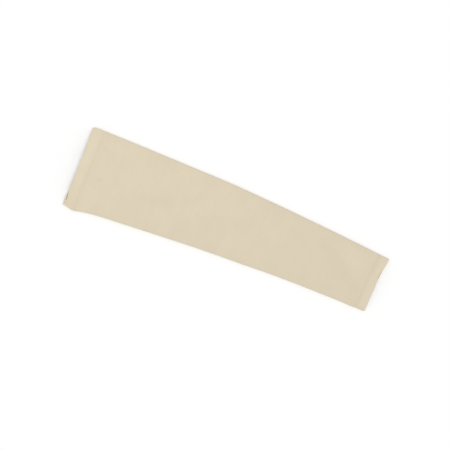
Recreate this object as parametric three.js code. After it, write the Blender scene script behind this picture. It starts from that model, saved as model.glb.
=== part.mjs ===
// A cooling sleeve for the arm, lying flat on a table: a tapered hollow tube of thin knitted cloth, with the
// cloth turned in and stitched as a hem at the upper arm and at the wrist.
// Millimetres, +Z up. +X runs from the upper arm to the wrist, +Y from the sewn edge to the folded edge, and
// the origin lies on the table under the middle of the sleeve.
import * as THREE from "three";

// Lengths along the sleeve, from the upper-arm mouth
const LENGTH = 400;
const UPPER_HEM = 15.2;
const WRIST_HEM = 12;
const STITCH_GAP = 0.3; // between a hem and the tube, at the bottom of the stitched groove

// Walls
const CLOTH = 1.0; // one layer of knitted cloth
const HEM_WALL = 1.6; // the cloth turned in and pressed double
const EDGE_RADIUS = 2.2; // outside of the two long edges, where the cloth bends from top to bottom
const DOME_POWER = 3.4; // shape of the top layer across the sleeve: 2 is a plain arch, more is flatter
const STITCH_DIP = 0.35; // how far the thread pulls the outside in at a hem's stitches
const SEAM_DIP = 0.35; // and along the seam of the sewn edge

// Mouths
const WRIST_SLANT = 5; // the wrist mouth reaches this much further at the folded edge
const SLANT_POWER = 2.2; // above 1, so the mouth is squarer to the sewn edge than to the folded one
const SLANT_LENGTH = 120; // the stretch before the wrist over which the slant grows
const MOUTH_BOW = 1.5; // the middle of the upper mouth lies back this far from its two corners
const MOUTH_STEP = 4.5; // its top layer lies back up to this far at the sewn corner
const MOUTH_LIP = 1.0; // and the bottom layer reaches out this far there
const MOUTH_STEP_WIDTH = 21; // across the sleeve, from the sewn edge

// How finely the walls are cut
const TUBE_STATIONS = 43;
const HEM_STATIONS = 3;
const TOP_STEPS = 16;
const UNDER_STEPS = 6;
const BEND_STEPS = 6;

// The sleeve seen from above and from the side. Each row is a place along the sleeve, with the two long edges
// across it and the height of the top layer midway between them.
const OUTLINE = [
  { along: 0, sewn: -51.0, folded: 51.2, height: 8.8 },
  { along: 3, sewn: -51.9, folded: 52.3, height: 9.2 },
  { along: 7, sewn: -52.8, folded: 52.7, height: 9.2 },
  { along: 15.2, sewn: -54.4, folded: 52.8, height: 8.75 },
  { along: 22, sewn: -52.6, folded: 52.6, height: 8.8 },
  { along: 45, sewn: -49.2, folded: 52.4, height: 8.8 },
  { along: 90, sewn: -46.0, folded: 51.8, height: 8.7 },
  { along: 130, sewn: -43.4, folded: 51.2, height: 8.6 },
  { along: 180, sewn: -40.4, folded: 50.4, height: 8.5 },
  { along: 230, sewn: -38.5, folded: 48.1, height: 8.4 },
  { along: 280, sewn: -36.5, folded: 45.1, height: 8.4 },
  { along: 330, sewn: -35.9, folded: 41.5, height: 8.4 },
  { along: 370, sewn: -36.1, folded: 38.0, height: 8.4 },
  { along: 388, sewn: -36.6, folded: 36.4, height: 8.2 },
  { along: 394, sewn: -36.4, folded: 36.0, height: 8.8 },
  { along: 400, sewn: -35.5, folded: 35.3, height: 8.5 },
];

// Soft folds in the top layer. Each runs straight between two places, with across counted from the middle of
// the sleeve, and is a ridge where height is above zero and a valley where it is below.
const FOLDS = [
  { fromAlong: 314, fromAcross: 26, toAlong: 378, toAcross: -18, halfWidth: 7, height: -0.8 },
  { fromAlong: 340, fromAcross: 26, toAlong: 386, toAcross: 3, halfWidth: 8, height: 0.5 },
  { fromAlong: 58, fromAcross: -24, toAlong: 180, toAcross: 20, halfWidth: 7, height: -0.4 },
  { fromAlong: 210, fromAcross: 12, toAlong: 262, toAcross: -10, halfWidth: 9, height: -0.4 },
];

const smooth = (t) => THREE.MathUtils.smoothstep(t, 0, 1);

// A column of a table at a place along the sleeve: a cubic through the rows, whose slope at each row is that of
// the chord between its neighbours.
function column(name, along) {
  const last = OUTLINE.length - 1;
  const next = OUTLINE.findIndex((row) => row.along > along);
  const i = next < 0 ? last - 1 : Math.max(0, next - 1);
  const slope = (k) => {
    const before = OUTLINE[Math.max(0, k - 1)];
    const after = OUTLINE[Math.min(last, k + 1)];
    return (after[name] - before[name]) / (after.along - before.along);
  };
  const a = OUTLINE[i];
  const b = OUTLINE[i + 1];
  const span = b.along - a.along;
  const t = (along - a.along) / span;
  const rise = b[name] - a[name];
  const bendStart = slope(i) * span - rise;
  const bendEnd = rise - slope(i + 1) * span;
  return a[name] + t * rise + t * (1 - t) * ((1 - t) * bendStart + t * bendEnd);
}

// How much the soft folds lift the top layer: each is a bell across its line, faded out at its two ends.
function foldLift(along, across) {
  let lift = 0;
  for (const fold of FOLDS) {
    const start = new THREE.Vector2(fold.fromAlong, fold.fromAcross);
    const line = new THREE.Vector2(fold.toAlong, fold.toAcross).sub(start);
    const place = new THREE.Vector2(along, across).sub(start);
    const share = place.dot(line) / line.lengthSq();
    const off = place.cross(line) / line.length() / fold.halfWidth;
    const ends = smooth(share * 3) * smooth((1 - share) * 3);
    lift += fold.height * ends * Math.exp(-off * off);
  }
  return lift;
}

// One ring of the wall, going round from the folded edge under the sleeve, up the sewn edge and back over the
// top: a flat underside, a round bend at each edge, and a dome that runs on from the bends. inset is how far the
// ring lies inside the outer surface.
function ring(along, inset) {
  const sewn = column("sewn", along);
  const folded = column("folded", along);
  const height = column("height", along);
  const middle = (sewn + folded) / 2;
  const bend = (folded - sewn) / 2 - EDGE_RADIUS; // from the middle to the centre of a bend
  const tilt = Math.atan((DOME_POWER * (height - 2 * EDGE_RADIUS)) / bend); // slope of the dome at a bend
  const radius = EDGE_RADIUS - inset;
  const seamRadius = Math.min(radius, EDGE_RADIUS - SEAM_DIP);
  const reach = bend + radius * Math.sin(tilt); // from the middle to an end of the dome
  const shoulder = EDGE_RADIUS * (1 + Math.cos(tilt)); // height of the outer dome's ends
  const loop = [];
  for (let i = 0; i < UNDER_STEPS; i++) {
    loop.push({ across: bend * (1 - (2 * i) / UNDER_STEPS), z: inset });
  }
  for (let i = 0; i < BEND_STEPS; i++) {
    const turn = ((Math.PI - tilt) * i) / BEND_STEPS;
    const r = 2 * i === BEND_STEPS ? seamRadius : radius;
    loop.push({ across: -bend - r * Math.sin(turn), z: EDGE_RADIUS - r * Math.cos(turn) });
  }
  for (let i = 0; i < TOP_STEPS; i++) {
    const share = (2 * i) / TOP_STEPS - 1;
    const across = share * reach;
    const slope = tilt * Math.abs(share) ** (DOME_POWER - 1);
    const lift = (height - shoulder + foldLift(along, across)) * (1 - Math.abs(share) ** DOME_POWER);
    loop.push({ across, z: shoulder + lift - inset * Math.cos(slope) });
  }
  for (let i = 0; i < BEND_STEPS; i++) {
    const turn = tilt + ((Math.PI - tilt) * i) / BEND_STEPS;
    loop.push({ across: bend + radius * Math.sin(turn), z: EDGE_RADIUS + radius * Math.cos(turn) });
  }
  return loop.map(({ across, z }) => {
    const y = middle + across;
    const fromSewn = Math.max(0, y - sewn);
    const nearWrist = smooth((along - LENGTH + SLANT_LENGTH) / SLANT_LENGTH);
    const slant = WRIST_SLANT * nearWrist * (fromSewn / (folded - sewn)) ** SLANT_POWER;
    const nearMouth = Math.max(0, 1 - along / UPPER_HEM);
    const bow = MOUTH_BOW * nearMouth * (1 - (across / (bend + EDGE_RADIUS)) ** 2);
    const corner = nearMouth * smooth(1 - fromSewn / MOUTH_STEP_WIDTH);
    const raised = smooth(z / height);
    const step = corner * (MOUTH_STEP * raised - MOUTH_LIP * (1 - raised));
    return new THREE.Vector3(along + slant + bow + step, y, z);
  });
}

// The two kinds of rim, as steps from the outer surface to the inner one. back is how far a step lies short of
// the end. At a mouth the cloth turns in with a half-round edge, and at the stitches the thread pulls it in.
function mouthRim(wall) {
  return [0, 0.25, 0.5, 0.75, 1].map((share) => ({
    back: (wall / 2) * (1 - Math.sin(Math.PI * share)),
    inset: (wall / 2) * (1 - Math.cos(Math.PI * share)),
  }));
}

function stitchedRim(wall) {
  return [
    { back: 2 * STITCH_DIP, inset: 0 },
    { back: 0, inset: STITCH_DIP },
    { back: 0, inset: wall },
  ];
}

// A closed wall between two places along the sleeve: rings along the outside, round the end rim, back along the
// inside and round the start rim, joined into one ring-shaped skin.
function clothWall({ start, end, wall, stations, startRim, endRim }) {
  const between = Array.from({ length: stations }, (_, i) => start + ((end - start) * (i + 1)) / (stations + 1));
  const rings = [
    ...between.map((along) => ring(along, 0)),
    ...endRim.map(({ back, inset }) => ring(end - back, inset)),
    ...between.toReversed().map((along) => ring(along, wall)),
    ...startRim.toReversed().map(({ back, inset }) => ring(start + back, inset)),
  ];
  const around = rings[0].length;
  const corner = (r, k) => (r % rings.length) * around + (k % around);
  const triangles = [];
  for (let r = 0; r < rings.length; r++) {
    for (let k = 0; k < around; k++) {
      triangles.push(corner(r, k), corner(r + 1, k), corner(r + 1, k + 1));
      triangles.push(corner(r, k), corner(r + 1, k + 1), corner(r, k + 1));
    }
  }
  const geometry = new THREE.BufferGeometry().setFromPoints(rings.flat());
  geometry.setIndex(triangles);
  geometry.computeVertexNormals();
  return geometry;
}

const knit = new THREE.MeshStandardMaterial({ color: 0xddd1b7, roughness: 0.7, metalness: 0 });
const hemKnit = new THREE.MeshStandardMaterial({ color: 0xe1d6bc, roughness: 0.7, metalness: 0 });

function piece(name, geometry, material) {
  const mesh = new THREE.Mesh(geometry, material);
  mesh.name = name;
  return mesh;
}

const sleeve = new THREE.Group();
sleeve.add(
  piece(
    "upper_arm_hem",
    clothWall({
      start: 0,
      end: UPPER_HEM - STITCH_GAP / 2,
      wall: HEM_WALL,
      stations: HEM_STATIONS,
      startRim: mouthRim(HEM_WALL),
      endRim: stitchedRim(HEM_WALL),
    }),
    hemKnit,
  ),
  piece(
    "sleeve_tube",
    clothWall({
      start: UPPER_HEM + STITCH_GAP / 2,
      end: LENGTH - WRIST_HEM - STITCH_GAP / 2,
      wall: CLOTH,
      stations: TUBE_STATIONS,
      startRim: stitchedRim(CLOTH),
      endRim: stitchedRim(CLOTH),
    }),
    knit,
  ),
  piece(
    "wrist_hem",
    clothWall({
      start: LENGTH - WRIST_HEM + STITCH_GAP / 2,
      end: LENGTH,
      wall: HEM_WALL,
      stations: HEM_STATIONS,
      startRim: stitchedRim(HEM_WALL),
      endRim: mouthRim(HEM_WALL),
    }),
    hemKnit,
  ),
);

// The table is at z 0 already, so only the middle of the outline moves to the origin.
const middle = new THREE.Box3().setFromObject(sleeve).getCenter(new THREE.Vector3());
sleeve.position.set(-middle.x, -middle.y, 0);

const part = new THREE.Group();
part.add(sleeve);
export default part;
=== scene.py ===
"""Looks of a cooling sleeve for the arm, lying flat on a pale floor.

The cloth is one surface over two parameters, the place along the sleeve and the place round it, worked
out with numpy in millimetres. The knitted tube and the two hems are walls cut from that surface, the
stitches are lengths of thread laid on it, and all of it is put into the frame in metres.
"""

import bpy
import numpy as np
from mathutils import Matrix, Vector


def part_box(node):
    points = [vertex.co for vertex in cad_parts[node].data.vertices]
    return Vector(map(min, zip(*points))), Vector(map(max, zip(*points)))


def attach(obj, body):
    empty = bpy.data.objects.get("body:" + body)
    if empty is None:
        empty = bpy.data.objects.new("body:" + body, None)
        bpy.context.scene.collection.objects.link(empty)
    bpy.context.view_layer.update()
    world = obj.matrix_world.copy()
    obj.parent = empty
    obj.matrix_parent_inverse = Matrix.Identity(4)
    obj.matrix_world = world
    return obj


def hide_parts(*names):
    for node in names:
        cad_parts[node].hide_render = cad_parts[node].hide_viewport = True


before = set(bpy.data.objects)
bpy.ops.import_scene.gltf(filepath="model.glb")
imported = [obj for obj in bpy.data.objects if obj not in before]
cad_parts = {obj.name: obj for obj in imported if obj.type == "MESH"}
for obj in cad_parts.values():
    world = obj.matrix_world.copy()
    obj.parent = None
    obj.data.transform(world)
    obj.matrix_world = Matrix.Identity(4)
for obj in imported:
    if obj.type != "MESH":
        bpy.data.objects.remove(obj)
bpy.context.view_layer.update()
MM = 0.001

# Lengths along the sleeve from the upper-arm mouth, in millimetres
LENGTH = 400.0
UPPER_HEM = 15.2
WRIST_HEM = 12.0
WRIST_LINE = LENGTH - WRIST_HEM

# Walls, in millimetres
CLOTH = 1.0  # one layer of knit
HEM_WALL = 1.6  # the knit turned in and stitched down
EDGE_RADIUS = 2.2  # outside of the bends at the two long edges
DOME_POWER = 3.4  # shape of the top layer across: 2 is a plain arch, more is flatter
STITCH_DIP = 0.16  # how far a line of stitches pulls the outer surface in
STITCH_VALLEY = 2.6  # how far that reaches along the sleeve
SEAM_PLACE = 0.5  # place of the seam on the sewn bend, as a share of the way round it
SEAM_DIP = 0.35  # depth of the seam's groove
SEAM_SHARE = 0.07  # reach of the groove, as a share of the way round the bend
SEAM_ALLOWANCE = 5.0  # how far a hem's inner surface stands off at the seam
ALLOWANCE_POWER = 6.0  # how closely that keeps to the seam

# The wrist mouth, in millimetres
WRIST_SLANT = 5.0  # how much further it reaches at the folded edge than at the sewn edge
SLANT_POWER = 2.2  # 1 is a straight slant, more is square to the sewn edge for longer
SLANT_LENGTH = 120.0  # length of sleeve over which the slant grows
WRIST_STEP = 2.0  # how far the top layer lies back at one place
WRIST_STEP_ACROSS = 12.3
WRIST_STEP_WIDTH = 9.0

# The upper-arm mouth, in millimetres
MOUTH_BOW = 1.8  # how far its middle lies back from its corners
SLIT_DEPTH = 9.0  # how far the top layer lies back near the sewn corner
SLIT_START = 5.0  # from the sewn edge to the slit's deepest place
SLIT_LENGTH = 17.0  # from there to the slit's end
SLIT_POWER = 2.0  # 1 is a straight slit, more closes it sooner
LIP_REACH = 0.3  # how far the bottom layer's lip reaches out under the slit
LIP_PLACE = 11.0  # from the sewn edge to the lip's middle
LIP_WIDTH = 9.0
LIP_CURL = 4.2  # how high the lip curls up
CURL_LENGTH = 6.0  # length of sleeve over which the curl dies away

# The sleeve from above and from the side: its two long edges, and the height of its top layer, along it
OUTLINE = np.array(
    [
        (0.0, -51.4, 51.2, 8.7),
        (3.0, -51.9, 52.3, 9.2),
        (7.0, -52.8, 52.7, 9.2),
        (15.2, -54.4, 52.8, 8.75),
        (22.0, -52.6, 52.6, 8.8),
        (45.0, -49.2, 52.4, 8.8),
        (90.0, -46.0, 51.8, 8.7),
        (130.0, -43.4, 51.2, 8.6),
        (180.0, -40.4, 50.4, 8.5),
        (230.0, -38.5, 48.1, 8.4),
        (280.0, -36.5, 45.1, 8.4),
        (330.0, -35.9, 41.5, 8.4),
        (370.0, -36.1, 38.0, 8.4),
        (388.0, -36.6, 36.4, 8.2),
        (394.0, -36.4, 36.0, 7.9),
        (400.0, -36.4, 35.6, 6.2),
    ],
    dtype=[("along", float), ("sewn", float), ("folded", float), ("height", float)],
)

# Folds of the top layer: both ends, across from the middle, half width, and height, below 0 in a valley
FOLDS = np.array(
    [
        (302, 34, 376, -17, 7, -0.9),
        (340, 26, 386, 3, 8, 0.5),
        (58, -24, 180, 20, 7, -0.4),
        (210, 12, 262, -10, 9, -0.4),
        (19, 36, 30, 27, 3, -0.7),
        (24, -2, 36, -8, 3, -0.6),
        (366, -10, 382, -20, 5, -0.6),
    ],
    dtype=[
        ("from_along", float),
        ("from_across", float),
        ("to_along", float),
        ("to_across", float),
        ("half_width", float),
        ("height", float),
    ],
)
FOLD_FADE = 1 / 3  # share of a fold's length over which each end fades out

# Slow swells of the cloth: share of its height, wave lengths along and across, and start, in turns
SWELLS = np.array(
    [(0.06, 131.0, 97.0, 0.15), (0.05, 83.0, -61.0, 0.62), (0.03, 47.0, 119.0, 0.38)],
    dtype=[("share", float), ("wave_along", float), ("wave_across", float), ("start", float)],
)

# Gathers beside the stitches, in millimetres
PUCKER_HEIGHT = 0.10
PUCKER_CLEAR = 2.0  # distance from the stitches over which they rise
PUCKER_REACH = 7.0  # distance over which they then die away
PUCKER_WAVES = (9.7, 6.3)  # wave lengths across of their two sines
PUCKER_SECOND = 0.7  # height of the second sine, as a share of the first
PUCKER_LEAN = 0.05  # radians by which they shift with each millimetre along the sleeve

# Sewing, in millimetres
THREAD_RADIUS = 0.17
THREAD_TAPER = 0.8  # share of its section that a length of thread loses at its two ends
TAPER_POWER = 6  # how close to the ends it does so
STITCH_PITCH = 2.9
STITCH_LENGTH = 2.4
NEEDLE_OFFSET = 1.6  # from a hem's line of stitches to each of its two needle rows
SEAM_PITCH = 1.8
SEAM_STITCH_SHARE = 0.09  # half length of a seam stitch, as a share of the way round the bend
SEAM_STITCH_SLANT = 0.6  # how far a seam stitch leans along the sleeve
SEAM_MARGIN = 2  # how many fewer stitches the seam has than it has room for

# Arch of a stitch, in thread radii: how far its middle stands out, and how much deeper its ends lie
HEM_ARCH = (0.9, 2.0)
SEAM_ARCH = (0.3, 1.8)
ARCH_POWER = 4  # 2 is a plain arch, more keeps its middle straight for longer

# How finely the cloth is cut: columns round the sleeve, and rings along its walls
BEND_COLUMNS = 12  # in half a bend
UNDER_COLUMNS = 40
TOP_COLUMNS = 126
NEAR_HEM = 9.0  # millimetres of the tube beside each hem that have rings closer together
NEAR_HEM_RINGS = 24
TUBE_RINGS = 300
TUBE_INSIDE_RINGS = 60
UPPER_HEM_RINGS = 32
UPPER_HEM_INSIDE_RINGS = 16
WRIST_HEM_RINGS = 28
WRIST_HEM_INSIDE_RINGS = 14
RIM_RINGS = 7
CORNER_TURN = 1.0  # radians by which a wall's path turns at a sharp corner
WIDEST_RINGS = 60  # rings among which the upper-arm hem's widest one is looked for
NORMAL_STEP = 0.2  # millimetres to the rings beside a needle row that give the cloth's normal
THREAD_SIDES = 8
THREAD_POINTS = 9  # along one stitch

# Knit and thread, in millimetres
WALE = 0.6  # width of a column of loops
COURSE = 0.5  # height of a row of loops
RIDGE_SHARE = 0.5  # share of a loop's height that is the rounding of its wale
LEG_LAG = 0.5  # turns by which a loop is put off at the sides of its wale
LOOP_DEPTH = 0.14
LOOP_STRENGTH = 0.7
PLIES = 2.0
PLY_RIDGES = 1.6  # slanted ridges on each millimetre of thread
PLY_DEPTH = 0.06
PLY_STRENGTH = 0.6

# Tone of the cloth, from 0, its dark colour, to 1, its light one, with painted light and shade in it
CLOTH_PAINTED_LIGHT = (1.0, -3.8, 0.0)  # painted light: how fast the tone darkens along, across and up, for each metre, darker towards the wrist and lighter towards the folded edge
# weight of the uneven tone, which also carries the painted light fade
UNEVEN_AND_PAINTED_LIGHT_WEIGHT = 0.3
# painted shade: weight of the loops' height in the tone, which darkens the hollows of the knit
LOOP_PAINTED_SHADE = 0.4
FOLD_PAINTED_SHADE = 0.1  # painted shade and light: how much darker a crease, and lighter a ridge, is made for each millimetre of its depth or height
STITCH_LINE_PAINTED_SHADE = 3.0  # painted shade along a line of stitches: how many times its depth it counts
BLOTCH_SHARE = 0.6  # share of the uneven tone that is blotches, the rest being bars
BLOTCH_DETAIL = 3.0
BAR_DETAIL = 2.0
BAR_STRETCH = (1.0, 0.04, 0.04)  # draws the bars out across the sleeve
CLOTH_BLOTCHES = 55.0  # for each metre
THREAD_BLOTCHES = 900.0
BARS = 260.0

# Finishes: a dark and a light colour, a range of roughness, a specular level and a sheen
KNIT_COLOURS = ((0.585, 0.514, 0.382), (0.820, 0.725, 0.541))
HEM_COLOURS = ((0.599, 0.526, 0.392), (0.839, 0.742, 0.555))
KNIT_ROUGHNESS = (0.52, 0.68)
KNIT_SPECULAR = 0.3
KNIT_SHEEN = 0.5
KNIT_SHEEN_TINT = (1.0, 0.92, 0.76, 1.0)
KNIT_SHEEN_ROUGHNESS = 0.5
THREAD_COLOURS = ((0.65, 0.575, 0.43), (0.76, 0.675, 0.51))
THREAD_ROUGHNESS = (0.5, 0.65)
THREAD_SPECULAR = 0.35
FLOOR_COLOUR = (0.92, 0.92, 0.92, 1.0)
FLOOR_ROUGHNESS = 0.8
FLOOR_SPECULAR = 0.1

# Places of the colour sockets on a Mix node
MIX_FACTOR = 0
MIX_DARK = 6
MIX_LIGHT = 7
MIX_RESULT = 2

# The photograph's view, in metres: straight down, with the sleeve from upper left to lower right
VIEW_TURN = np.radians(21.7246)
VIEW_WIDTH = 0.5621
VIEW_HEIGHT = 2.5
SLEEVE_RIGHT = 0.00343  # from the middle of the picture to the frame's origin
SLEEVE_UP = -0.00151
SENSOR = 36.0  # millimetres

# The floor, in metres: its level is just below the stitches of the underside
FLOOR_SIZE = 24.0
FLOOR_LEVEL = -0.00025

# Light: strengths, and the overhead light's spread, its bearing from +X and its elevation, in degrees
SKY_COLOUR = (1.0, 1.0, 1.0, 1.0)
SKY_STRENGTH = 0.65
OVERHEAD_STRENGTH = 1.405
OVERHEAD_SPREAD = 50.0
OVERHEAD_BEARING = -45.0
OVERHEAD_ELEVATION = 82.0
OVERHEAD_DISTANCE = 2.0  # metres


def smooth(t):
    """A step from 0 to 1 with level ends: three times the square of t less twice its cube."""
    t = np.clip(t, 0.0, 1.0)
    return t * t * (3.0 - 2.0 * t)


def bell(t):
    """A bell that is 1 at zero: e to the power of minus t squared."""
    return np.exp(-(t**2))


def unit(vectors):
    """Vectors divided by their lengths."""
    return vectors / np.linalg.norm(vectors, axis=-1, keepdims=True)


def outline_at(name, along):
    """A column of OUTLINE along the sleeve: cubics from row to row, sloped as the chords of neighbours."""
    places = OUTLINE["along"]
    values = OUTLINE[name]
    rows = np.arange(len(places))
    before = np.maximum(rows - 1, 0)
    after = np.minimum(rows + 1, len(places) - 1)
    slopes = (values[after] - values[before]) / (places[after] - places[before])
    row = np.clip(np.searchsorted(places, along, side="right") - 1, 0, len(places) - 2)
    span = places[row + 1] - places[row]
    t = (along - places[row]) / span
    rise = values[row + 1] - values[row]
    bend_start = slopes[row] * span - rise
    bend_end = rise - slopes[row + 1] * span
    return values[row] + t * rise + t * (1 - t) * ((1 - t) * bend_start + t * bend_end)


def half_width(along):
    """Half the distance between the two long edges."""
    return (outline_at("folded", along) - outline_at("sewn", along)) / 2


def middle(along):
    """The place across that is halfway between the two long edges."""
    return (outline_at("folded", along) + outline_at("sewn", along)) / 2


def fold_lift(along, across):
    """Lift by the folds: each is a bell across its line, and fades out towards both ends of it."""
    lift = 0.0
    for fold in FOLDS:
        line = np.array([fold["to_along"] - fold["from_along"], fold["to_across"] - fold["from_across"]])
        length = np.hypot(*line)
        ahead = along - fold["from_along"]
        aside = across - fold["from_across"]
        share = (ahead * line[0] + aside * line[1]) / length**2
        off = (ahead * line[1] - aside * line[0]) / length / fold["half_width"]
        fade = smooth(share / FOLD_FADE) * smooth((1 - share) / FOLD_FADE)
        lift = lift + fold["height"] * fade * bell(off)
    return lift


def swell(along, across):
    """Share by which the cloth swells: plane waves added up, each a sine of its turns along and across."""
    share = 0.0
    for wave in SWELLS:
        turns = along / wave["wave_along"] + across / wave["wave_across"] + wave["start"]
        share = share + wave["share"] * np.sin(2 * np.pi * turns)
    return share


def pucker_lift(along, across):
    """Lift by the gathers: two sines across, in and out of step, that die away from the stitches."""
    distance = np.minimum(np.abs(along - UPPER_HEM), np.abs(along - WRIST_LINE))
    fade = np.exp(-distance / PUCKER_REACH) * smooth(distance / PUCKER_CLEAR)
    first, second = [np.sin(2 * np.pi * across / wave + PUCKER_LEAN * along) for wave in PUCKER_WAVES]
    return PUCKER_HEIGHT * fade * (first + PUCKER_SECOND * second)


def stitch_inset(along):
    """How far the stitches pull the outer surface in: a bell round each line of stitches."""
    upper = bell((along - UPPER_HEM) / STITCH_VALLEY)
    wrist = bell((along - WRIST_LINE) / STITCH_VALLEY)
    return STITCH_DIP * (upper + wrist)


def ring_section(stretch, along, share, inset):
    """Points of a ring of the sleeve before its mouths are shaped: across from its middle, and up.

    A ring is a flat underside, a round bend at the folded edge, a domed top and a round bend at the sewn
    edge. share goes from 0 to 1 over the named stretch, in that order round the ring. The dome falls from
    its middle by the power DOME_POWER of the distance, and its ends run on from the bends at the angle
    tilt. inset is the depth below the outer surface, and near the seam the inner surface stands off by the
    seam allowance.
    """
    height = outline_at("height", along)
    bend = half_width(along) - EDGE_RADIUS
    tilt = np.arctan(DOME_POWER * (height - 2 * EDGE_RADIUS) / bend)
    radius = EDGE_RADIUS - inset
    if stretch == "under":
        across = bend * (2 * share - 1)
        up = np.broadcast_to(inset, across.shape)
    elif stretch == "folded":
        turn = np.pi - (np.pi - tilt) * share
        across = bend + radius * np.sin(turn)
        up = EDGE_RADIUS + radius * np.cos(turn)
    elif stretch == "top":
        side = 1 - 2 * share
        across = side * (bend + radius * np.sin(tilt))
        shoulder = EDGE_RADIUS * (1 + np.cos(tilt))
        relief = fold_lift(along, across) + pucker_lift(along, across)
        dome = 1 - np.abs(side) ** DOME_POWER
        slope = tilt * np.abs(side) ** (DOME_POWER - 1)
        up = shoulder + (height - shoulder + relief) * dome - inset * np.cos(slope)
    else:
        turn = (np.pi - tilt) * (1 - share)
        groove = SEAM_DIP * bell((share - SEAM_PLACE) / SEAM_SHARE)
        radius = np.minimum(radius, EDGE_RADIUS - groove)
        across = -bend - radius * np.sin(turn)
        up = EDGE_RADIUS - radius * np.cos(turn)
    near_seam = np.clip(-across / bend, 0, 1) ** ALLOWANCE_POWER
    return across + SEAM_ALLOWANCE * inset / HEM_WALL * near_seam, up


def cloth_point(stretch, along, share, inset):
    """Points of the cloth in millimetres: along the sleeve, across it and up.

    A ring's section lies about the sleeve's middle line, and swells up and down. raised is 0 at the
    underside and 1 at the top. The wrist mouth slants by a power of the distance from the sewn edge, and
    its top layer lies back in a bell across. The upper-arm mouth is bowed in a parabola. In its top layer a
    slit deepens from the sewn edge to SLIT_START, and then closes by the power SLIT_POWER of what is left
    of SLIT_LENGTH. Under the slit the bottom layer's lip reaches out and curls up, in a bell across.
    """
    across, up = ring_section(stretch, along, share, inset)
    half = half_width(along)
    y = middle(along) + across
    from_sewn = np.maximum(y - outline_at("sewn", along), 0)
    raised = smooth(up / outline_at("height", along))

    near_wrist = smooth((along - LENGTH + SLANT_LENGTH) / SLANT_LENGTH)
    slant = WRIST_SLANT * near_wrist * (from_sewn / (2 * half)) ** SLANT_POWER
    wrist_share = np.maximum(1 - (LENGTH - along) / WRIST_HEM, 0)
    wrist_step = WRIST_STEP * raised * bell((y - WRIST_STEP_ACROSS) / WRIST_STEP_WIDTH)

    upper_share = np.maximum(1 - along / UPPER_HEM, 0)
    bow = MOUTH_BOW * (1 - (across / half) ** 2)
    closing = np.clip(1 - (from_sewn - SLIT_START) / SLIT_LENGTH, 0, 1) ** SLIT_POWER
    slit = SLIT_DEPTH * raised * closing * smooth(from_sewn / SLIT_START)
    lip = (1 - raised) * bell((from_sewn - LIP_PLACE) / LIP_WIDTH)
    curl = LIP_CURL * lip * smooth(1 - along / CURL_LENGTH)

    x = along + slant - wrist_share * wrist_step + upper_share * (bow + slit - LIP_REACH * lip)
    z = up * (1 + swell(along, across)) + curl
    return np.stack(np.broadcast_arrays(x, y, z), axis=-1)


def rings(along, inset):
    """Whole rings of cloth, one for each place along the sleeve, that start and end at the seam."""
    along = np.asarray(along, float)[:, None]
    inset = np.broadcast_to(np.asarray(inset, float).reshape(-1, 1), along.shape)
    stretches = [
        ("sewn", np.linspace(SEAM_PLACE, 1, BEND_COLUMNS, endpoint=False)),
        ("under", np.linspace(0, 1, UNDER_COLUMNS, endpoint=False)),
        ("folded", np.linspace(0, 1, 2 * BEND_COLUMNS, endpoint=False)),
        ("top", np.linspace(0, 1, TOP_COLUMNS, endpoint=False)),
        ("sewn", np.linspace(0, SEAM_PLACE, BEND_COLUMNS + 1)),
    ]
    return np.concatenate([cloth_point(name, along, share, inset) for name, share in stretches], axis=1)


def to_frame(points):
    """Points put into the frame, in metres: the hems reach as far along and across as their CAD nodes."""
    wrist_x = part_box("wrist_hem")[1].x
    upper_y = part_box("upper_arm_hem")[1].y
    last = rings([LENGTH], HEM_WALL / 2)[..., 0].max()
    widest = rings(np.linspace(0, UPPER_HEM, WIDEST_RINGS), 0.0)[..., 1].max()
    return points * MM + np.array([wrist_x - last * MM, upper_y - widest * MM, 0.0])


def add_piece(name, points, faces, uv, material):
    """A piece from arrays: points in millimetres, faces as rows of corners, and a uv for each corner."""
    mesh = bpy.data.meshes.new(name)
    mesh.from_pydata(to_frame(points.reshape(-1, 3)), [], faces)
    mesh.uv_layers.new(name="knit").uv.foreach_set("vector", uv.astype(np.float32).ravel())
    mesh.polygons.foreach_set("use_smooth", np.ones(len(mesh.polygons), bool))
    mesh.materials.append(material)
    mesh.update()
    piece = bpy.data.objects.new(name, mesh)
    bpy.context.scene.collection.objects.link(piece)
    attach(piece, "root")
    return piece


def mark_corners(piece, along, inset, columns):
    """Makes a wall sharp at the corners of its butt ends: rings where its path turns by CORNER_TURN."""
    heading = np.arctan2(np.diff(inset, append=inset[:1]), np.diff(along, append=along[:1]))
    turn = heading - np.roll(heading, 1)
    corner = np.abs((turn + np.pi) % (2 * np.pi) - np.pi) > CORNER_TURN
    ends = np.empty(2 * len(piece.data.edges), np.int32)
    piece.data.edges.foreach_get("vertices", ends)
    first, second = (ends.reshape(-1, 2) // columns).T
    piece.data.edges.foreach_set("use_edge_sharp", corner[first] & (first == second))


def keep_painted_shade_lift(piece, along, points):
    """Keeps at each point how far folds lift the top layer, less a multiple of the stitches' dip: painted
    shade for creases and lines of stitches, and painted light for ridges.
    """
    along = along[:, None]
    on_top = smooth(points[..., 2] / outline_at("height", along))
    folds = fold_lift(along, points[..., 1] - middle(along))
    # painted shade and light: creases and lines of stitches come out darker, ridges lighter
    lift = on_top * folds - STITCH_LINE_PAINTED_SHADE * stitch_inset(along)
    values = piece.data.attributes.new("lift", "FLOAT", "POINT").data
    values.foreach_set("value", lift.astype(np.float32).ravel())


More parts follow.
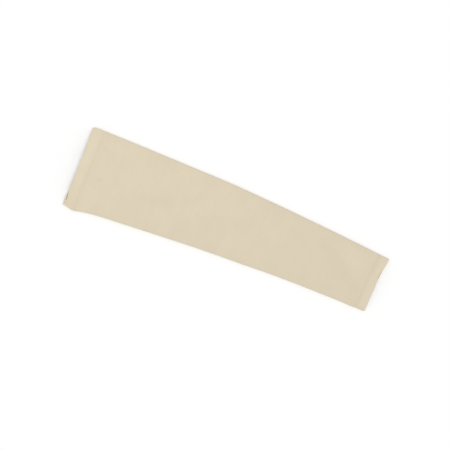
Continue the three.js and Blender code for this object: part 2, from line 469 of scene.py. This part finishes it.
def cloth_wall(name, along, inset, run, material, slot):
    """A closed wall of cloth from rings that go out along the outside and back along the inside.

    along and inset give the place and depth of each ring, and the last ring joins the first. The uv is
    millimetres round the sleeve from its folded edge, and run, millimetres along the cloth, so the knit
    runs straight down that edge and on over the rims.
    """
    loops = rings(along, inset)
    steps = np.linalg.norm(np.diff(loops, axis=1), axis=2)
    round_mm = np.concatenate([np.zeros((len(loops), 1)), np.cumsum(steps, axis=1)], axis=1)
    fold = 2 * BEND_COLUMNS + UNDER_COLUMNS
    round_mm -= round_mm[:, fold : fold + 1]
    place = np.stack([round_mm, np.broadcast_to(run[:, None], round_mm.shape)], axis=2)
    ring_count, columns = steps.shape
    ring, column = np.meshgrid(np.arange(ring_count), np.arange(columns), indexing="ij")
    corners = [(ring, column), (ring, column + 1), (ring + 1, column + 1), (ring + 1, column)]
    faces = np.stack([(r % ring_count) * columns + c % columns for r, c in corners], axis=2)
    uv = np.stack([place[r % ring_count, c] for r, c in corners], axis=2)
    points = loops[:, :-1]
    piece = add_piece(name, points, faces.reshape(-1, 4).tolist(), uv, material)
    mark_corners(piece, along, inset, columns)
    keep_painted_shade_lift(piece, along, points)
    return piece


def mouth_rim(wall):
    """A half-round rim from the outside in: distances short of the mouth, and depths below the outside."""
    turn = np.linspace(0, np.pi, RIM_RINGS + 2)[1:-1]
    return wall / 2 * (1 - np.sin(turn)), wall / 2 * (1 - np.cos(turn))


def wall_path(outside, inside, wall, start_mouth=False, end_mouth=False):
    """Rings of a wall in turn: places along the sleeve, depths, and millimetres of cloth to each.

    The rings go out along the outside, round the end, back along the inside and round the start. A wall
    with a mouth at its start begins inside, so that its first and last rings are always those of a butt
    end. The cloth is measured along that path, and on the outside it starts at the place along the sleeve.
    """
    back, depth = mouth_rim(wall)
    outer = (outside, stitch_inset(outside))
    inner = (inside[::-1], np.full(len(inside), wall))
    path = [outer, inner]
    if end_mouth:
        path = [outer, (LENGTH - back, depth), inner]
    if start_mouth:
        path = [inner, (back[::-1], depth[::-1]), outer]
    along = np.concatenate([places for places, _ in path])
    inset = np.concatenate([depths for _, depths in path])
    run = np.append(0, np.cumsum(np.hypot(np.diff(along), np.diff(inset))))
    first_outside = len(along) - len(outside) if start_mouth else 0
    return along, inset, run + outside[0] - run[first_outside]


def thread_piece(name, paths, outward, material):
    """Short lengths of thread, one for each row of paths.

    A ring of THREAD_SIDES points is carried along each path, square to it. Its section loses THREAD_TAPER
    times the power TAPER_POWER of the way from the middle to the ends, and a small flat closes each end.
    outward is the cloth's normal beside each point.
    """
    sides = THREAD_SIDES
    count, steps = paths.shape[:2]
    ahead = unit(np.gradient(paths, axis=1))
    aside = unit(np.cross(ahead, outward))
    above = np.cross(aside, ahead)
    turn = 2 * np.pi * np.arange(sides) / sides
    end = np.abs(np.linspace(-1, 1, steps))
    radius = THREAD_RADIUS * np.sqrt(1 - THREAD_TAPER * end**TAPER_POWER)
    ring = np.cos(turn)[:, None] * aside[:, :, None] + np.sin(turn)[:, None] * above[:, :, None]
    points = paths[:, :, None] + radius[:, None, None] * ring
    run, step, side = np.meshgrid(np.arange(count), np.arange(steps - 1), np.arange(sides), indexing="ij")
    corners = [(step, side), (step + 1, side), (step + 1, side + 1), (step, side + 1)]
    quads = np.stack([(run * steps + p) * sides + s % sides for p, s in corners], axis=3).reshape(-1, 4)
    starts = np.arange(count)[:, None] * steps * sides + np.arange(sides)
    ends = starts[:, ::-1] + (steps - 1) * sides
    length = np.linalg.norm(np.diff(paths, axis=1), axis=2).mean()
    quad_uv = np.stack([np.stack([p * length, s / sides], axis=3) for p, s in corners], axis=3)
    cap_uv = np.zeros((2 * count * sides, 2))
    uv = np.concatenate([quad_uv.reshape(-1, 2), cap_uv])
    faces = quads.tolist() + starts.tolist() + ends.tolist()
    return add_piece(name, points, faces, uv, material)


def stitch_arch(way, rise, dive):
    """Height of a stitch over the cloth: rise less dive times the power ARCH_POWER of way, -1 to 1."""
    return THREAD_RADIUS * (rise - dive * way**ARCH_POWER)


def round_ring(at, arc, values):
    """Values at distances round a closed ring, on straight lines between its points."""
    return np.stack([np.interp(at, arc, column, period=arc[-1]) for column in values.T], axis=2)


def hem_row(along):
    """One row of needle stitches round a hem: paths along the ring, each arched so that its ends go in."""
    near = rings(along + np.array([-NORMAL_STEP, 0.0, NORMAL_STEP]), stitch_inset(along))
    ring = near[1]
    normal = unit(np.cross(np.gradient(ring, axis=0), near[2] - near[0]))
    steps = np.linalg.norm(np.diff(ring, axis=0), axis=1)
    arc = np.append(0, np.cumsum(steps))
    count = int(round(arc[-1] / STITCH_PITCH))
    way = np.linspace(-1, 1, THREAD_POINTS)
    start = (np.arange(count)[:, None] + 0.5) * arc[-1] / count
    at = start + (1 + way) / 2 * STITCH_LENGTH
    outward = unit(round_ring(at, arc, normal))
    path = round_ring(at, arc, ring) + stitch_arch(way, *HEM_ARCH)[:, None] * outward
    return path, outward


def hem_stitches(name, line, material):
    """The two needle rows of a hem, NEEDLE_OFFSET either side of its line of stitches."""
    rows = [hem_row(line - NEEDLE_OFFSET), hem_row(line + NEEDLE_OFFSET)]
    paths = np.concatenate([path for path, _ in rows])
    outward = np.concatenate([normal for _, normal in rows])
    return thread_piece(name, paths, outward, material)


def seam_stitches(name, material):
    """Short slanted stitches down the seam: bars over the groove, each arched so that its ends go in."""
    count = int((WRIST_LINE - UPPER_HEM) / SEAM_PITCH) - SEAM_MARGIN
    start = UPPER_HEM + SEAM_PITCH * (1 + np.arange(count)[:, None])
    first = cloth_point("sewn", start, SEAM_PLACE - SEAM_STITCH_SHARE, 0.0)
    last = cloth_point("sewn", start + SEAM_STITCH_SLANT, SEAM_PLACE + SEAM_STITCH_SHARE, 0.0)
    way = np.linspace(-1, 1, THREAD_POINTS)[:, None]
    path = first * (1 - way) / 2 + last * (1 + way) / 2
    outward = np.broadcast_to(unit(np.cross(last - first, (1.0, 0.0, 0.0))), path.shape)
    return thread_piece(name, path + stitch_arch(way, *SEAM_ARCH) * outward, outward, material)


def math_node(tree, operation, first, second=None):
    """A Math node, whose inputs are sockets or numbers. Returns its output."""
    node = tree.nodes.new("ShaderNodeMath")
    node.operation = operation
    for socket, value in zip(node.inputs, (first, second)):
        if isinstance(value, bpy.types.NodeSocket):
            tree.links.new(value, socket)
        elif value is not None:
            socket.default_value = value
    return node.outputs[0]


def weigh(tree, first, first_weight, second, second_weight):
    """Two values added up, each times its weight."""
    first_share = math_node(tree, "MULTIPLY", first, first_weight)
    second_share = math_node(tree, "MULTIPLY", second, second_weight)
    return math_node(tree, "ADD", first_share, second_share)


def shader_group(name, inputs, outputs):
    """A shader node group with named sockets. Returns its tree, and the sockets at its two ends."""
    tree = bpy.data.node_groups.new(name, "ShaderNodeTree")
    for label, kind, value in inputs:
        socket = tree.interface.new_socket(label, in_out="INPUT", socket_type=kind)
        if value is not None:
            socket.default_value = value
    for label, kind in outputs:
        tree.interface.new_socket(label, in_out="OUTPUT", socket_type=kind)
    entry = tree.nodes.new("NodeGroupInput")
    leave = tree.nodes.new("NodeGroupOutput")
    return tree, entry.outputs, leave.inputs


def knit_loops_group():
    """Height of a plain knit, from 0 to 1, from millimetres round and along the cloth.

    leg is the way from the middle of a wale to its sides. Each wale is a ridge, 1 less the square of leg.
    Its two legs lean together, so a sine along the wale is put off by LEG_LAG times leg, which draws a
    column of V shapes.
    """
    tree, entry, leave = shader_group(
        "Knit loops",
        [
            ("Place", "NodeSocketVector", None),
            ("Wale", "NodeSocketFloat", WALE),
            ("Course", "NodeSocketFloat", COURSE),
        ],
        [("Height", "NodeSocketFloat")],
    )
    parts = tree.nodes.new("ShaderNodeSeparateXYZ")
    tree.links.new(entry["Place"], parts.inputs[0])
    wale = math_node(tree, "FRACT", math_node(tree, "DIVIDE", parts.outputs["X"], entry["Wale"]))
    off_middle = math_node(tree, "ABSOLUTE", math_node(tree, "SUBTRACT", wale, 0.5))
    leg = math_node(tree, "MULTIPLY", off_middle, 2.0)
    ridge = math_node(tree, "SUBTRACT", 1.0, math_node(tree, "MULTIPLY", leg, leg))
    course = math_node(tree, "DIVIDE", parts.outputs["Y"], entry["Course"])
    turns = math_node(tree, "ADD", course, math_node(tree, "MULTIPLY", leg, LEG_LAG))
    loop = math_node(tree, "SINE", math_node(tree, "MULTIPLY", turns, 2 * np.pi))
    raised = math_node(tree, "ADD", loop, 1.0)
    tree.links.new(weigh(tree, ridge, RIDGE_SHARE, raised, (1 - RIDGE_SHARE) / 2), leave["Height"])
    return tree


def cloth_tone_and_painted_light_group():
    """A mask of uneven tone: soft blotches, faint bars along the courses, and a painted light fade over the
    sleeve.

    The blotches and bars are noise from 0 to 1, the bars drawn out across the sleeve. The painted light
    fade takes off the dot product of the place, in metres from the middle of the sleeve, and its fade
    input: darker towards the wrist for light falling off, and lighter towards the folded edge against the
    dome's shade.
    """
    tree, entry, leave = shader_group(
        "Cloth tone and painted light",
        [
            ("Place", "NodeSocketVector", None),
            ("Blotch scale", "NodeSocketFloat", CLOTH_BLOTCHES),
            ("Bar scale", "NodeSocketFloat", BARS),
            ("Fade", "NodeSocketVector", (0.0, 0.0, 0.0)),
        ],
        [("Tone", "NodeSocketFloat")],
    )
    blotch = tree.nodes.new("ShaderNodeTexNoise")
    blotch.inputs["Detail"].default_value = BLOTCH_DETAIL
    tree.links.new(entry["Place"], blotch.inputs["Vector"])
    tree.links.new(entry["Blotch scale"], blotch.inputs["Scale"])
    stretch = tree.nodes.new("ShaderNodeVectorMath")
    stretch.operation = "MULTIPLY"
    stretch.inputs[1].default_value = BAR_STRETCH
    tree.links.new(entry["Place"], stretch.inputs[0])
    bar = tree.nodes.new("ShaderNodeTexNoise")
    bar.inputs["Detail"].default_value = BAR_DETAIL
    tree.links.new(stretch.outputs[0], bar.inputs["Vector"])
    tree.links.new(entry["Bar scale"], bar.inputs["Scale"])
    uneven = weigh(tree, blotch.outputs[0], BLOTCH_SHARE, bar.outputs[0], 1 - BLOTCH_SHARE)
    # painted light: the tone darkens towards the wrist and lightens towards the folded edge
    fade = tree.nodes.new("ShaderNodeVectorMath")
    fade.operation = "DOT_PRODUCT"
    tree.links.new(entry["Place"], fade.inputs[0])
    tree.links.new(entry["Fade"], fade.inputs[1])
    tree.links.new(math_node(tree, "SUBTRACT", uneven, fade.outputs["Value"]), leave["Tone"])
    return tree


def new_material(name):
    """An empty material with a Principled shader. Returns the material, its tree and the shader."""
    material = bpy.data.materials.new(name)
    material.use_nodes = True
    tree = material.node_tree
    return material, tree, tree.nodes["Principled BSDF"]


def place_group(tree, group, place, values):
    """A group node in a material's tree, with its Place linked and its other named inputs set."""
    node = tree.nodes.new("ShaderNodeGroup")
    node.node_tree = group
    tree.links.new(place, node.inputs["Place"])
    for label, value in values.items():
        node.inputs[label].default_value = value
    return node


def piece_coordinates(tree):
    """Where a point is on a piece, as sockets: its own uv, and its Object coordinates in metres."""
    uv = tree.nodes.new("ShaderNodeUVMap")
    uv.uv_map = "knit"
    where = tree.nodes.new("ShaderNodeTexCoord")
    return uv.outputs[0], where.outputs["Object"]


def add_bump(tree, shader, height, strength, depth):
    """Bump from a height of 0 to 1, as deep as depth in millimetres, into the shader's Normal."""
    bump = tree.nodes.new("ShaderNodeBump")
    bump.inputs["Strength"].default_value = strength
    bump.inputs["Distance"].default_value = depth * MM
    tree.links.new(height, bump.inputs["Height"])
    tree.links.new(bump.outputs["Normal"], shader.inputs["Normal"])


def add_tone(tree, shader, tone, colours, roughness):
    """Colour and roughness that follow a tone: a mix of dark and light, and a range of roughness."""
    dark, light = colours
    mix = tree.nodes.new("ShaderNodeMix")
    mix.data_type = "RGBA"
    mix.inputs[MIX_DARK].default_value = (*dark, 1.0)
    mix.inputs[MIX_LIGHT].default_value = (*light, 1.0)
    tree.links.new(tone, mix.inputs[MIX_FACTOR])
    tree.links.new(mix.outputs[MIX_RESULT], shader.inputs["Base Color"])
    spread = tree.nodes.new("ShaderNodeMapRange")
    spread.inputs["To Min"].default_value = roughness[0]
    spread.inputs["To Max"].default_value = roughness[1]
    tree.links.new(tone, spread.inputs["Value"])
    tree.links.new(spread.outputs[0], shader.inputs["Roughness"])


def knit_material(name, loops, tone, colours):
    """Fine stretch knit: V-shaped loops as bump, an uneven tone and a soft sheen.

    Its colour also carries painted light and shade: a fade over the sleeve, painted shade in the loops'
    hollows, in creases and along lines of stitches, and painted light on ridges.
    """
    material, tree, shader = new_material(name)
    on_cloth, where = piece_coordinates(tree)
    loop_node = place_group(tree, loops, on_cloth, {"Wale": WALE, "Course": COURSE})
    # the cloth's tone gets the painted light fade
    scales_and_painted_light = {"Blotch scale": CLOTH_BLOTCHES, "Bar scale": BARS, "Fade": CLOTH_PAINTED_LIGHT}
    tone_node = place_group(tree, tone, where, scales_and_painted_light)
    lift = tree.nodes.new("ShaderNodeAttribute")
    lift.attribute_name = "lift"
    height = loop_node.outputs["Height"]
    # painted shade in the loops' hollows, mixed with the uneven tone and its painted light fade
    tone_and_painted_shade = weigh(tree, tone_node.outputs["Tone"], UNEVEN_AND_PAINTED_LIGHT_WEIGHT, height, LOOP_PAINTED_SHADE)
    # painted shade in creases and along lines of stitches, and painted light on ridges
    painted_fold_shade = math_node(tree, "MULTIPLY", lift.outputs["Fac"], FOLD_PAINTED_SHADE)
    add_tone(tree, shader, math_node(tree, "ADD", tone_and_painted_shade, painted_fold_shade), colours, KNIT_ROUGHNESS)
    add_bump(tree, shader, height, LOOP_STRENGTH, LOOP_DEPTH)
    shader.inputs["Specular IOR Level"].default_value = KNIT_SPECULAR
    shader.inputs["Sheen Weight"].default_value = KNIT_SHEEN
    shader.inputs["Sheen Tint"].default_value = KNIT_SHEEN_TINT
    shader.inputs["Sheen Roughness"].default_value = KNIT_SHEEN_ROUGHNESS
    return material


def thread_material(name, tone):
    """Sewing thread: plies twisted together, drawn as the slanted ridges of a sine without its sign."""
    material, tree, shader = new_material(name)
    on_thread, where = piece_coordinates(tree)
    parts = tree.nodes.new("ShaderNodeSeparateXYZ")
    tree.links.new(on_thread, parts.inputs[0])
    twist = weigh(tree, parts.outputs["X"], PLY_RIDGES, parts.outputs["Y"], PLIES)
    ply = math_node(tree, "ABSOLUTE", math_node(tree, "SINE", math_node(tree, "MULTIPLY", twist, np.pi)))
    tone_node = place_group(tree, tone, where, {"Blotch scale": THREAD_BLOTCHES, "Bar scale": BARS})
    add_tone(tree, shader, tone_node.outputs["Tone"], THREAD_COLOURS, THREAD_ROUGHNESS)
    add_bump(tree, shader, ply, PLY_STRENGTH, PLY_DEPTH)
    shader.inputs["Specular IOR Level"].default_value = THREAD_SPECULAR
    return material


def build_tube(knit):
    """The tube between the two lines of stitches, with its rings closer together beside them."""
    near_upper = np.linspace(UPPER_HEM, UPPER_HEM + NEAR_HEM, NEAR_HEM_RINGS, endpoint=False)
    between = np.linspace(UPPER_HEM + NEAR_HEM, WRIST_LINE - NEAR_HEM, TUBE_RINGS, endpoint=False)
    near_wrist = np.linspace(WRIST_LINE - NEAR_HEM, WRIST_LINE, NEAR_HEM_RINGS)
    outside = np.concatenate([near_upper, between, near_wrist])
    inside = np.linspace(UPPER_HEM, WRIST_LINE, TUBE_INSIDE_RINGS)
    tube = cloth_wall("sleeve_cloth", *wall_path(outside, inside, CLOTH), knit, "knit_cloth")
    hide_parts("sleeve_tube")
    return tube


def build_upper_arm_hem(hem_knit):
    """The band from the rim of the upper-arm mouth to its line of stitches."""
    outside = np.linspace(HEM_WALL / 2, UPPER_HEM, UPPER_HEM_RINGS)
    inside = np.linspace(HEM_WALL / 2, UPPER_HEM, UPPER_HEM_INSIDE_RINGS)
    path = wall_path(outside, inside, HEM_WALL, start_mouth=True)
    hem = cloth_wall("upper_arm_hem_cloth", *path, hem_knit, "hem_cloth")
    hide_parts("upper_arm_hem")
    return hem


def build_wrist_hem(hem_knit):
    """The band from the wrist's line of stitches to the rim of its mouth."""
    outside = np.linspace(WRIST_LINE, LENGTH - HEM_WALL / 2, WRIST_HEM_RINGS)
    inside = np.linspace(WRIST_LINE, LENGTH - HEM_WALL / 2, WRIST_HEM_INSIDE_RINGS)
    path = wall_path(outside, inside, HEM_WALL, end_mouth=True)
    hem = cloth_wall("wrist_hem_cloth", *path, hem_knit, "hem_cloth")
    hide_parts("wrist_hem")
    return hem


def build_sleeve():
    """The cloth of the tube and the two hems, with their stitches.

    Laid flat, the cloth is twice the width between the long edges, by the length between the lines of
    stitches. The cut tapers, so its area is that length times the mean of its two ends' widths.
    """
    loops = knit_loops_group()
    tone = cloth_tone_and_painted_light_group()
    knit = knit_material("beige stretch knit", loops, tone, KNIT_COLOURS)
    hem_knit = knit_material("beige hem knit", loops, tone, HEM_COLOURS)
    thread = thread_material("beige sewing thread", tone)

    tube = build_tube(knit)
    upper_hem = build_upper_arm_hem(hem_knit)
    wrist_hem = build_wrist_hem(hem_knit)
    sewing = [
        hem_stitches("upper_arm_hem_stitches", UPPER_HEM, thread),
        hem_stitches("wrist_hem_stitches", WRIST_LINE, thread),
        seam_stitches("side_seam_stitches", thread),
    ]


def build_floor():
    """A plain pale floor under the sleeve: one level square."""
    corners = np.array([[-1, -1], [1, -1], [1, 1], [-1, 1]]) * FLOOR_SIZE / 2
    mesh = bpy.data.meshes.new("floor")
    mesh.from_pydata(np.column_stack([corners, np.full(4, FLOOR_LEVEL)]), [], [(0, 1, 2, 3)])
    material, _, shader = new_material("pale table")
    shader.inputs["Base Color"].default_value = FLOOR_COLOUR
    shader.inputs["Roughness"].default_value = FLOOR_ROUGHNESS
    shader.inputs["Specular IOR Level"].default_value = FLOOR_SPECULAR
    mesh.materials.append(material)
    floor = bpy.data.objects.new("floor", mesh)
    bpy.context.scene.collection.objects.link(floor)


def build_camera():
    """A camera straight above, whose picture is VIEW_WIDTH wide at the height of the sleeve's edges."""
    right = np.array([np.cos(VIEW_TURN), np.sin(VIEW_TURN)])
    up = np.array([-np.sin(VIEW_TURN), np.cos(VIEW_TURN)])
    place = -(SLEEVE_RIGHT * right + SLEEVE_UP * up)
    data = bpy.data.cameras.new("camera")
    data.sensor_width = SENSOR
    data.lens = SENSOR * (VIEW_HEIGHT - EDGE_RADIUS * MM) / VIEW_WIDTH
    camera = bpy.data.objects.new("camera", data)
    camera.location = (place[0], place[1], VIEW_HEIGHT)
    camera.rotation_euler = (0.0, 0.0, VIEW_TURN)
    bpy.context.scene.collection.objects.link(camera)
    bpy.context.scene.camera = camera


def aim(lamp, bearing, elevation, distance):
    """Puts a lamp at a bearing from +X and an elevation, in degrees, and turns it to the origin."""
    turn = np.radians(bearing)
    rise = np.radians(elevation)
    reach = distance * np.cos(rise)
    lamp.location = (reach * np.cos(turn), reach * np.sin(turn), distance * np.sin(rise))
    lamp.rotation_euler = (np.pi / 2 - rise, 0.0, turn + np.pi / 2)
    bpy.context.scene.collection.objects.link(lamp)


def build_light():
    """Even light all round, and a broad soft light overhead that leans to the wrist and the sewn edge."""
    world = bpy.data.worlds.new("studio")
    world.use_nodes = True
    background = world.node_tree.nodes["Background"]
    background.inputs["Color"].default_value = SKY_COLOUR
    background.inputs["Strength"].default_value = SKY_STRENGTH
    bpy.context.scene.world = world
    overhead = bpy.data.lights.new("overhead", "SUN")
    overhead.angle = np.radians(OVERHEAD_SPREAD)
    overhead.energy = OVERHEAD_STRENGTH
    lamp = bpy.data.objects.new("overhead", overhead)
    aim(lamp, OVERHEAD_BEARING, OVERHEAD_ELEVATION, OVERHEAD_DISTANCE)
    bpy.context.scene.view_settings.view_transform = "Standard"


build_camera()
build_floor()
build_light()
build_sleeve()
